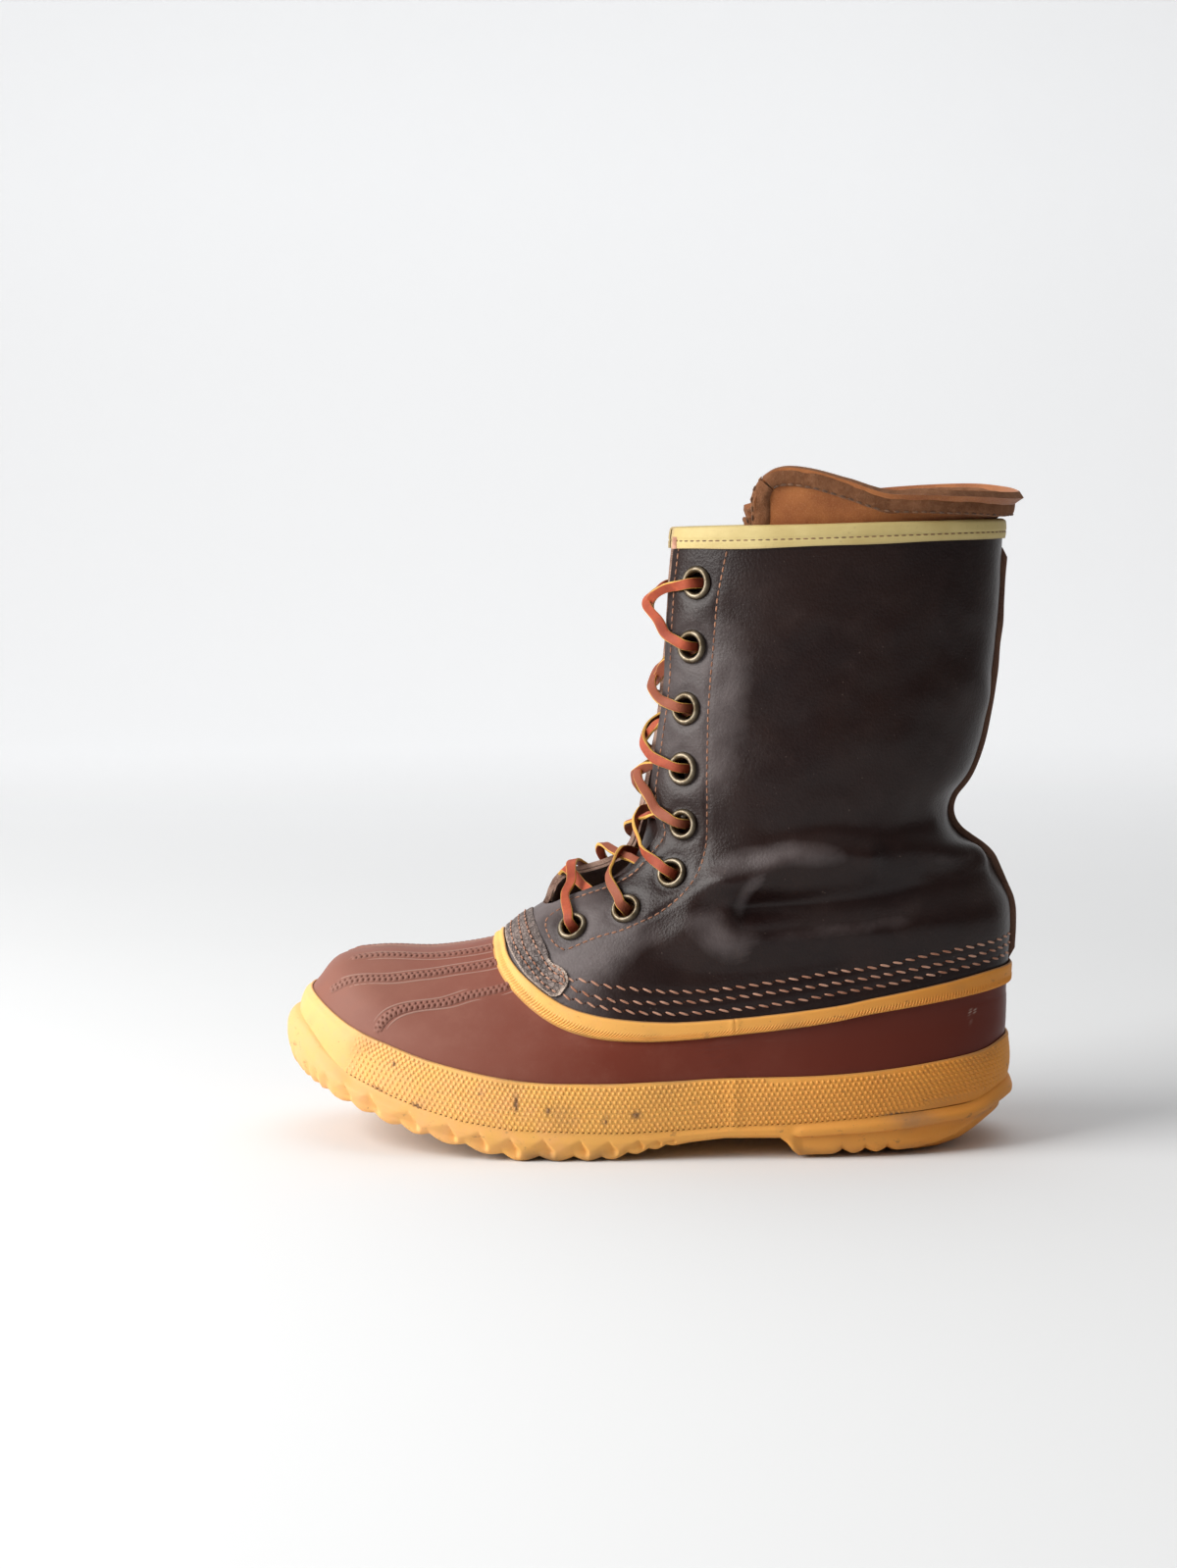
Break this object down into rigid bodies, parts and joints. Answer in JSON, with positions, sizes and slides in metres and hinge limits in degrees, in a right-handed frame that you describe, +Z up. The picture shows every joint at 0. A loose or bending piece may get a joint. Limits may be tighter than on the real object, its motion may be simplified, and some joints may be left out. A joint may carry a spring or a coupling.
{
  "type": "pac boot",
  "caption": "Left pac boot with a moulded rubber bottom, laced leather shaft, felt liner cuff and ribbed gum rubber sole.",
  "frame": {"origin": "on the floor, under the centre of the boot's bounding box", "axes": "+X from heel to toe, +Y to the outer (lateral) side of this left boot, +Z up"},
  "size_m": [0.3066, 0.1127, 0.2778],
  "materials": {
    "gum_rubber": "matt gum rubber",
    "brown_rubber": "satin red-brown rubber",
    "oiled_leather": "oiled, dark, creased",
    "grey_leather": "grained, worn",
    "raw_leather": "rough raw edge",
    "cream_leather": "smooth cream",
    "felt": "brown felt and suede",
    "brass": "aged",
    "lace_hide": "orange-red hide"
  },
  "bodies": {
    "root": {"outsole": "gum_rubber", "insole": "felt", "foxing": "gum_rubber", "toe_bumper": "gum_rubber", "rubber_shell": "brown_rubber", "top_strip": "gum_rubber", "leather_shaft": "oiled_leather", "vamp_patch": "grey_leather", "back_seam": "raw_leather", "collar_binding": "cream_leather", "tongue": "oiled_leather", "liner": "felt", "liner_cuff": "felt", "eyelet_outer_1": "brass", "eyelet_outer_2": "brass", "eyelet_outer_3": "brass", "eyelet_outer_4": "brass", "eyelet_outer_5": "brass", "eyelet_outer_6": "brass", "eyelet_outer_7": "brass", "eyelet_outer_8": "brass", "eyelet_inner_1": "brass", "eyelet_inner_2": "brass", "eyelet_inner_3": "brass", "eyelet_inner_4": "brass", "eyelet_inner_5": "brass", "eyelet_inner_6": "brass", "eyelet_inner_7": "brass", "eyelet_inner_8": "brass", "lace_crossing_1": "lace_hide", "lace_crossing_2": "lace_hide", "lace_crossing_3": "lace_hide", "lace_crossing_4": "lace_hide", "lace_crossing_5": "lace_hide", "lace_crossing_6": "lace_hide", "lace_crossing_7": "lace_hide", "lace_bar": "lace_hide"}
  },
  "joints": []
}
